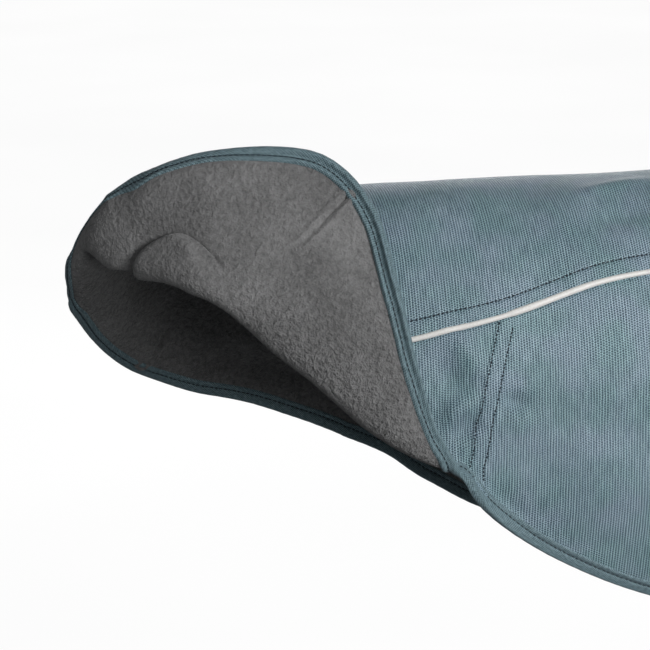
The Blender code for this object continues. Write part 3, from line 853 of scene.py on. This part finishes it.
def add_side(side, material, step):
    """The front and rear side panels, the front one lapping over the rear one."""
    sign = SIGN[side]
    rest = int(cloth.lengths[side].max() / step)
    first = np.concatenate([FINE, np.full(rest, FINE[-1])])
    onward = np.concatenate([np.zeros(FINE.size), np.linspace(0, 1, rest + 1)[1:]])

    def shares(u):
        start, end = cloth.piping(u, side) - 2.5, cloth.length(u, side) - 2 * close_hem(u)
        squeeze = np.minimum(1, (end - start) / 60)
        run = start + first * squeeze + (end - start - FINE[-1] * squeeze) * onward
        return sign * run / cloth.length(u, side)

    def at_seam(distance):
        u = np.full(first.size, SEAM * 1.0)
        for _ in range(4):
            u = cloth.seam_u(shares(u), distance)
        return u

    front_lap = [at_seam(distance) for distance in SEAM_LINES[::-1]]
    rear_lap = [at_seam(-distance) for distance in (-UNDERLAP, *SEAM_LINES[1:8])]
    front = np.linspace(0, 1, int(330 / step))[:, None] * (front_lap[0] - 0.03) + 0.03
    rear = np.linspace(0, 1, int(250 / step))[:, None] * (LAST - 0.06 - rear_lap[-1]) + rear_lap[-1]
    for name, u in (
        ("side_front_", np.concatenate([front[:-1], front_lap])),
        ("side_rear_", np.concatenate([rear_lap[:-1], rear])),
    ):
        share = np.array([shares(line) for line in u])
        ahead = cloth.read(cloth.seam_run, u, share)
        from_piping = np.abs(share) * cloth.length(u, side) - cloth.piping(u, side)
        sunk = 0.9 * (1 - rise((from_piping + 1) / 4))
        height = SHELL_TOP - sunk + groove(from_piping - 3.0, 1.3, 1.0)
        height = height + seam_pucker(from_piping, u, sign + 3)
        pucker = 0.2 * ripple(share * 200, 11, 5) * bell(ahead - 6, 9)
        at_lap = lap_height(ahead) if name == "side_front_" else -0.35 * rise((ahead + 1) / 2)
        height = height + pucker + at_lap
        order = slice(None) if side == "far" else slice(None, None, -1)
        sheet(name + side, u[:, order], share[:, order], height[:, order], material)


def add_back(material, step):
    """The back panel, with a folded edge beside each piping and a row of stitches above it."""
    u = cloth.rows(0.03, LAST - 0.06, step, 0)
    near, far = cloth.piping(u, "near"), cloth.piping(u, "far")
    left, right = (side[:, None] - 0.4 - FINE * np.minimum(1, side / 45)[:, None] for side in (near, far))
    left, right = -left, right[:, ::-1]
    t = np.linspace(0, 1, int(200 / step) + 1)
    middle = left[:, -1:] + (right[:, :1] - left[:, -1:]) * t[1:-1]
    run = np.concatenate([left, middle, right], 1)
    u = np.repeat(u[:, None], run.shape[1], 1)
    share = run / cloth.reach(u, run)
    from_piping = np.minimum(run + near[:, None], far[:, None] - run)
    fold = 0.75 * rise(from_piping / 1.4) * (1 - rise((from_piping - TOPSTITCH) / 5))
    room = rise((np.minimum(near, far) - 16) / 10)[:, None]
    stitched = groove(from_piping - TOPSTITCH, 0.9, 1.3) * room
    height = SHELL_TOP + fold + seam_pucker(from_piping, u, 2) * 0.6 + stitched
    sheet("back_panel", u, share, height, material)


def nearest_place(point, side):
    """The u and share of the cloth's place nearest a point, on the turned-back corner or on the far side."""
    on_flap = (cloth.share[None, :] < 0) & (cloth.normals[..., 1] > 0)
    allowed = on_flap if side == "near" else np.broadcast_to(cloth.share > 0, on_flap.shape)
    far = np.where(allowed, np.linalg.norm(cloth.points - point, axis=-1), np.inf)
    i, j = np.unravel_index(np.argmin(far), far.shape)
    return cloth.u[i], cloth.share[j]


def add_lining(material):
    """The fleece face, with its dart seams drawn in."""
    seen = cloth.rows(SEEN_LINING, LAST - 0.04, 1.6, -0.7)
    rows = np.concatenate([cloth.rows(0.03, SEEN_LINING, 5, 0), seen[1:]])
    columns = np.concatenate([np.linspace(-1, -0.25, 170), np.linspace(-0.25, 1, 130)[1:]])
    u, share = np.meshgrid(rows, columns, indexing="ij")
    share = share * (1 - 0.006 * close_hem(u))
    points = cloth.point(u, share, LINING_FACE)
    height = np.full(u.shape, LINING_FACE)
    for side, dart in DARTS.items():
        line = np.array([cloth.point(*nearest_place(np.array(point), side), LINING_FACE) for point in dart])
        far, along = to_segments(points, line)
        fade = 1 - 0.9 * rise((along - 0.3) / 0.7)
        height += fade * sum(tall * bell(far - place, width) for tall, place, width in DART_SWELLS)
    sheet("lining", u, share, height, material)


def tape_height(across, relief=0.0):
    """How far the tape and its row of stitches stand off what they cover, by distance from the edge."""
    inside = BINDING_WIDTH - BINDING_STITCH
    puff = 0.25 * np.sin(np.pi * np.clip(across / BINDING_STITCH, 0, 1))
    puff = puff + 0.2 * np.sin(np.pi * np.clip((across - BINDING_STITCH) / inside, 0, 1))
    edge = 0.75 * rise((across - BINDING_WIDTH + 0.7) / 0.7)
    swells = sum(tall * bell(across - place, width) for tall, place, width in TAPE_SWELLS)
    height = TAPE_THICK + puff + relief * swells + groove(across - BINDING_STITCH, 0.75, 0.8)
    return np.maximum(height, TAPE_LEAST) - edge * TAPE_THICK


# Where the tape's points lie across it, and the angles of those round its edge
TAPE_ACROSS = np.array(
    [1.2, 1.8, 2.4, 3.2, 3.9, 4.4, 4.9, 5.6, 6.3, 6.8, 7.3, 7.8, 8.6, 9.4, 9.9, 10.3, 10.5]
)
TURNS = np.radians([75, 50, 25, 0, -25, -50, -75])
TURN_INSET, TURN_REACH = 1.3, 1.6  # How far in the turn's middle lies, and how far out it reaches from there
OPEN_INSET = 0.8  # How much further in it lies where the tape stands open
STITCH_SINK = 0.35  # How deep the stitches lie in the tape


def add_binding(name, path, material):
    """Tape folded over a closed edge: over the shell, round the edge and under the lining."""
    edge_u, edge_share, inner_u, inner_share = path[..., None]
    near_hem = edge_share == -1
    wide = np.where(near_hem, look_up(OPEN_TAPE, edge_u) / BINDING_WIDTH, 1)
    relief = np.where(near_hem, look_up(TAPE_RELIEF, edge_u), 0)

    def across_edge(t):
        return edge_u + (inner_u - edge_u) * t, edge_share + (inner_share - edge_share) * t

    def layer(t, height):
        points, normal = cloth.line(*across_edge(t), 0)
        even = np.stack([blurred(column, run, 4) for column in normal.swapaxes(0, 1)], 1)
        return points + unit(even) * height[..., None]

    t = TAPE_ACROSS / BINDING_WIDTH
    edge, normal = cloth.line(edge_u[:, 0], edge_share[:, 0], 0)
    run = distances(edge)
    normal = unit(blurred(normal, run, 4))
    way = edge - cloth.point(*across_edge(t[4]))[:, 0]
    way = unit(blurred(unit(way - np.sum(way * normal, -1, keepdims=True) * normal), run, 3))
    swell = 1 + 0.07 * ripple(run, 9, 3)[:, None]
    top = layer(t, SHELL_TOP + tape_height(TAPE_ACROSS) * swell)
    bottom = layer(t * wide, LINING_FACE - tape_height(TAPE_ACROSS, relief) * swell)
    centre = (SHELL_TOP + LINING_FACE) / 2
    tall = (SHELL_TOP - LINING_FACE) / 2 + TAPE_THICK + 0.05
    lift = centre + tall * np.sin(TURNS)
    reach = TURN_REACH * np.cos(TURNS) * swell - TURN_INSET - OPEN_INSET * relief
    round_edge = edge[:, None] + normal[:, None] * lift[:, None] + way[:, None] * reach[..., None]
    points = np.concatenate([top[:, ::-1], round_edge, bottom], 1)
    across = np.concatenate([TAPE_ACROSS[::-1], np.linspace(-0.4, -5, TURNS.size), -5.5 - TAPE_ACROSS])
    uv = pairs(run[:, None], across)
    points = np.concatenate([points, points[:1]])
    uv = np.concatenate([uv, uv[:1] + [distances(edge[[0, -1]])[-1], 0]])
    node = name.replace("tape", "binding")
    add_piece(name, points, grid_faces(*points.shape[:2]), uv, material, [node])
    stitch, sunk = BINDING_STITCH / BINDING_WIDTH, TAPE_THICK - STITCH_SINK
    return [
        cloth.line(*(place[:, 0] for place in across_edge(t)), height)
        for t, height in ((stitch, SHELL_TOP + sunk), (stitch * wide, LINING_FACE - sunk))
    ]


def shares_round(u, count, start, step):
    """Shares a step apart along the coat's end at u, from the near hem to the far one."""
    share = np.linspace(-1, 1, count)
    run = distances(cloth.point(u, share))
    return np.interp(np.arange(start, run[-1] - step / 2, step), run, share)


def joined(parts):
    """Parts of a tape's path, end to end: u and share of its edge, and u and share of its inner edge."""
    return np.concatenate([np.array(np.broadcast_arrays(*part), float) for part in parts], 1)


def hem_path(step):
    """The hem tape's path: near side, tail, far side and chest."""
    near_u, far_u = (cloth.rows(CHEST, LAST, step, sign) for sign in SIGN.values())
    inside_u = LAST - TAIL_EDGE
    legs = []
    for side, u in (("near", near_u), ("far", far_u[::-1])):
        inner = np.minimum(u, inside_u)
        legs.append((u, SIGN[side], inner, SIGN[side] * cloth.inner_share(inner, side)))
    tail = shares_round(LAST, 200, step, step)
    low, high = (sign * cloth.inner_share(inside_u, side) for side, sign in SIGN.items())
    legs.insert(1, (LAST, tail, inside_u, np.clip(tail, low, high)))
    fan = np.linspace(0, np.pi / 2, 8)
    chest_inner = cloth.inner_share(CHEST, "near")
    for side, turn in (("far", fan[1:]), ("near", fan[::-1][1:-1])):
        inner = SIGN[side] * (1 - (1 - chest_inner) * np.cos(turn))
        legs.append((CHEST, SIGN[side], CHEST - CHEST_EDGE * np.sin(turn), inner))
    return joined(legs)


def neck_path(step):
    share = shares_round(0, 300, 0, step)[::-1]
    return joined([(0, share, NECK_EDGE, share)])


def add_stitches(name, lines, material, length=2.6, gap=0.9, radius=0.42):
    """Rows of stitches along lines of points and normals: short threads whose ends dip into the cloth."""
    t = np.linspace(-0.5, 0.5, 5)
    spin = np.linspace(0, 2 * np.pi, 6, endpoint=False)
    thick = radius * np.array([0.55, 0.95, 1, 0.95, 0.55])
    dip = -0.42 * (2 * t) ** 4
    points, faces, uv = [], [], []
    for line, normal in lines:
        run = distances(line)
        centres = np.arange(length, run[-1] - length, length + gap)
        if not centres.size:
            continue
        ahead = unit(at_run(line, run, centres + 1) - at_run(line, run, centres - 1))
        up = at_run(normal, run, centres)
        up = unit(up - np.sum(up * ahead, -1, keepdims=True) * ahead)
        across = np.cross(ahead, up)
        middle = at_run(line, run, centres)[:, None] + ahead[:, None] * (t * length)[:, None]
        middle = middle + up[:, None] * dip[:, None]
        rings = ringed(middle, up[:, None], across[:, None], thick, thick, spin)
        start = sum(len(block) for block in points)
        points.append(rings.reshape(-1, 3))
        place = centres[:, None, None] + (t * length)[:, None]
        uv.append(pairs(place, spin / 3).reshape(-1, 2))
        number = start + np.arange(rings[..., 0].size).reshape(rings.shape[:3])
        a, b = number[:, :-1], number[:, 1:]
        side = np.stack([a, np.roll(a, -1, 2), np.roll(b, -1, 2), b], -1).reshape(-1, 4)
        faces += side.tolist() + number[:, 0, ::-1].tolist() + number[:, -1].tolist()
    add_piece(name, np.concatenate(points), faces, np.concatenate(uv), material)


def add_piping(side, material):
    """The piping: a cord in a folded tape, a little uneven in thickness, flattened against the seam."""
    u = cloth.rows(0.16, LAST - (0.9 if side == "near" else 0.2), 2.0, SIGN[side] * 0.4)
    share = SIGN[side] * (cloth.piping(u, side) + 0.9) / cloth.length(u, side)
    swell = look_up(PIPING_SWELL, u) * (1 + 0.05 * ripple(u * RIPPLE_RUN, 31, 6))
    centre, normal = cloth.line(u, share, SHELL_TOP + 0.55 * swell)
    ahead = unit(np.gradient(centre, axis=0))
    across = unit(np.cross(ahead, normal))
    spin = np.linspace(0, 2 * np.pi, 19)
    thick = PIPING_RADIUS * swell
    ring = ringed(centre, normal, across, 0.85 * thick, thick, spin)
    ends = [np.repeat(centre[end, None, None], spin.size, 1) for end in (0, -1)]
    ring = np.concatenate([ends[0], ring, ends[1]])
    run = np.pad(distances(centre), 1, "edge")
    uv = pairs(run[:, None], spin * PIPING_RADIUS)
    faces = grid_faces(*ring.shape[:2])
    add_piece("piping_cord_" + side, ring, faces, uv, material, ["piping_" + side])


def seam_line(side, distance, height):
    """A line along the side seam at a distance ahead of its edge."""
    start = (cloth.piping(SEAM, side) + 0.5) / cloth.length(SEAM, side)
    end = cloth.inner_share(SEAM, side) - 0.004
    share = SIGN[side] * np.linspace(start, end, 120)
    return cloth.line(cloth.seam_u(share, distance), share, height)


def piping_line(side, distance, height):
    """A line along the back panel at a distance from its piped seam, as far as the panel has room for it."""
    u = cloth.rows(0.25, LAST - 0.6, 3, SIGN[side] * 0.4)
    room = np.minimum(cloth.piping(u, "near"), cloth.piping(u, "far")) > distance + 10
    u = u[room]
    return cloth.line(u, SIGN[side] * (cloth.piping(u, side) - distance) / cloth.length(u, side), height)


def band_start(u, side):
    """The share at which the belly band starts: a part of the way down the side panel."""
    top, bottom = cloth.piping(u, side), cloth.length(u, side) - BINDING_WIDTH
    return (top + BAND_STARTS[side] * (bottom - top)) / cloth.length(u, side)


def band_line(u):
    """One line round the belly band: down the far panel, under the belly and up the near panel."""
    far = cloth.point(u, np.linspace(band_start(u, "far"), 1, 60))
    near = cloth.point(u, np.linspace(-1, -band_start(u, "near"), 60))
    reach = BAND_SAG * np.linalg.norm(near[0] - far[-1])
    t = np.linspace(0, 1, 80)[1:-1, None]
    under = hermite(far[-1], unit(far[-1] - far[-4]) * reach, near[0], unit(near[3] - near[0]) * reach, t)
    return spaced(np.concatenate([far, under, near]), 221)


def add_band(material):
    """The belly band: a strip of the shell's cloth. Returns its upper face and which way is outward there."""
    rows = np.linspace(*BAND_ROWS, 25)
    middle = np.array([band_line(u) for u in rows])
    normal = unit(np.cross(np.gradient(middle, axis=1), np.gradient(middle, axis=0)))
    centre, halfway = middle.shape[0] // 2, middle.shape[1] // 2
    run = distances(middle[centre])
    lift = 1.5 + 1.6 * rise((run - 55) / 25)
    across = np.linspace(0, 1, rows.size) * np.linalg.norm(middle[-1, halfway] - middle[0, halfway])
    from_edge = np.minimum(across, across[-1] - across)[:, None]
    ease = 0.25 * ripple(run, 60, 2) + 0.2 * ripple(run, 23, 4)
    top = middle + normal * (lift + BAND_THICK + ease + groove(from_edge - 3.5, 0.4))[..., None]
    low = middle + normal * (lift + np.minimum(ease, 0.2) * 0.5)[..., None]
    count = top[..., 0].size
    number = np.arange(count).reshape(top.shape[:2])
    rim = np.concatenate([number[0, :-1], number[:-1, -1], number[-1, :0:-1], number[:0:-1, 0]])
    faces = grid_faces(*top.shape[:2])
    faces += [[d + count, c + count, b + count, a + count] for a, b, c, d in faces]
    faces += [[ahead, here, here + count, ahead + count] for here, ahead in zip(rim, np.roll(rim, -1))]
    uv = np.concatenate([pairs(across[:, None], run)] * 2)
    points = np.concatenate([top, low])
    add_piece("belly_band_cloth", points, faces, uv, material, ["belly_band"])
    return top, normal


# ---------------------------------------------------------------- building

shell = shell_material((0.012, 0.034, 0.050), (0.141, 0.226, 0.268), (0.470, 0.615, 0.665))
tape = tape_material((0.024, 0.052, 0.064), (0.262, 0.375, 0.415))
thread = thread_material("thread", (0.006, 0.010, 0.016), (0.022, 0.032, 0.046))
tape_thread = thread_material("tape thread", (0.008, 0.014, 0.020), (0.030, 0.048, 0.060))
piping = piping_material()

add_back(shell, 2.5)
add_side("near", shell, 2.2)
add_side("far", shell, 3.2)
add_lining(fleece_material())
stitch_rows = add_binding("hem_tape", hem_path(2.0), tape) + add_binding("neck_tape", neck_path(2.4), tape)
add_stitches("tape_stitches", stitch_rows, tape_thread)
for side in SIGN:
    add_piping(side, piping)
for side in SIGN:
    lap = [seam_line(side, line, SHELL_TOP + 0.75) for line in LAP_STITCHES]
    add_stitches("seam_stitches_" + side, lap, thread, 1.8, 0.7, 0.46)
top_rows = [piping_line(side, TOPSTITCH, SHELL_TOP + 0.25) for side in SIGN]
add_stitches("top_stitches", top_rows, thread, 2.1, 0.8, 0.48)
band_top, band_normal = add_band(shell)
sunk = band_top - band_normal * 0.1
edges = [(sunk[row], band_normal[row]) for row in (2, -3)]
ends = [(sunk[2:-2, column], band_normal[2:-2, column]) for column in (3, 14, -4, -30)]
add_stitches("band_stitches", edges + ends, thread)
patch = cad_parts["band_patch"]
patch.data.materials.clear()
patch.data.materials.append(patch_material())
for node, (width, length, area, trims) in CUTS.items():
    trims = [bpy.data.objects[trim] for trim in trims]


# ---------------------------------------------------------------- stage, lights and camera

def stage_material():
    """Evenly lit white."""
    nodes = Nodes("pale stage", 1.0)
    colour = nodes.ramp(nodes.noise(0.8), (0.3, (0.96, 0.96, 0.96)), (0.7, (0.98, 0.98, 0.98)))
    black = (0, 0, 0, 1)
    for socket, value in (("Emission Color", colour), ("Emission Strength", 1.0), ("Base Color", black)):
        nodes.put(nodes.shader.inputs[socket], value)
    return nodes.material


def add_stage(name, points, faces, material):
    """A plain pale surface that the camera sees and that throws no light on the coat."""
    mesh = bpy.data.meshes.new(name)
    mesh.from_pydata(points, [], faces)
    stage = bpy.data.objects.new(name, mesh)
    stage.data.materials.append(material)
    stage.visible_diffuse = stage.visible_glossy = stage.visible_shadow = False
    bpy.context.scene.collection.objects.link(stage)


def add_studio(height=-0.7, half=30):
    """A pale floor and the pale walls and ceiling round it."""
    square = ((-1, -1), (1, -1), (1, 1), (-1, 1))
    corners = [(x * half, y * half, z) for z in (height, half) for x, y in square]
    white = stage_material()
    add_stage("floor", corners[:4], [(0, 1, 2, 3)], white)
    add_stage("walls", corners, [(0, 1, 5, 4), (1, 2, 6, 5), (2, 3, 7, 6), (3, 0, 4, 7), (4, 5, 6, 7)], white)


# Place, size of the lit panel in metres, and watts
LIGHTS = {
    "key": ((0.92, -1.75, 0.70), (0.6, 0.6), 31),
    "front": ((0.45, -1.90, 0.10), (0.4, 0.4), 4.5),
    "fill": ((-1.5, -1.4, 1.4), (1.0, 1.0), 5),
    "back": ((0.6, 2.4, 0.1), (2.0, 1.2), 26),
}


def add_light(name, place, size, power, aim=(-0.02, -0.02, -0.08)):
    data = bpy.data.lights.new(name, "AREA")
    data.shape = "RECTANGLE"
    data.size, data.size_y = size
    data.energy = power
    light = bpy.data.objects.new(name, data)
    light.location = place
    light.rotation_euler = (Vector(aim) - Vector(place)).to_track_quat("-Z", "Y").to_euler()
    bpy.context.scene.collection.objects.link(light)


def add_camera(azimuth=-10, elevation=15, distance=1.350, right=0.0997, up=0.0917, width=0.429):
    """Looks past the origin, which lies right of and above the picture's middle."""
    a, e = np.radians(azimuth), np.radians(elevation)
    forward = Vector((-np.sin(a) * np.cos(e), np.cos(a) * np.cos(e), -np.sin(e)))
    across = Vector((np.cos(a), np.sin(a), 0))
    upward = across.cross(forward)
    data = bpy.data.cameras.new("camera")
    data.sensor_width = 36
    data.lens = 36 * distance / width
    camera = bpy.data.objects.new("camera", data)
    camera.location = -forward * distance - across * right - upward * up
    camera.rotation_euler = Matrix((across, upward, -forward)).transposed().to_euler()
    bpy.context.scene.collection.objects.link(camera)
    bpy.context.scene.camera = camera


add_studio()
for name, light in LIGHTS.items():
    add_light(name, *light)
world = bpy.data.worlds.new("studio")
world.use_nodes = True
background = world.node_tree.nodes["Background"]
background.inputs["Color"].default_value = (0.95, 0.97, 1.0, 1)
background.inputs["Strength"].default_value = 0.10
bpy.context.scene.world = world
bpy.context.scene.view_settings.view_transform = "Standard"
add_camera()
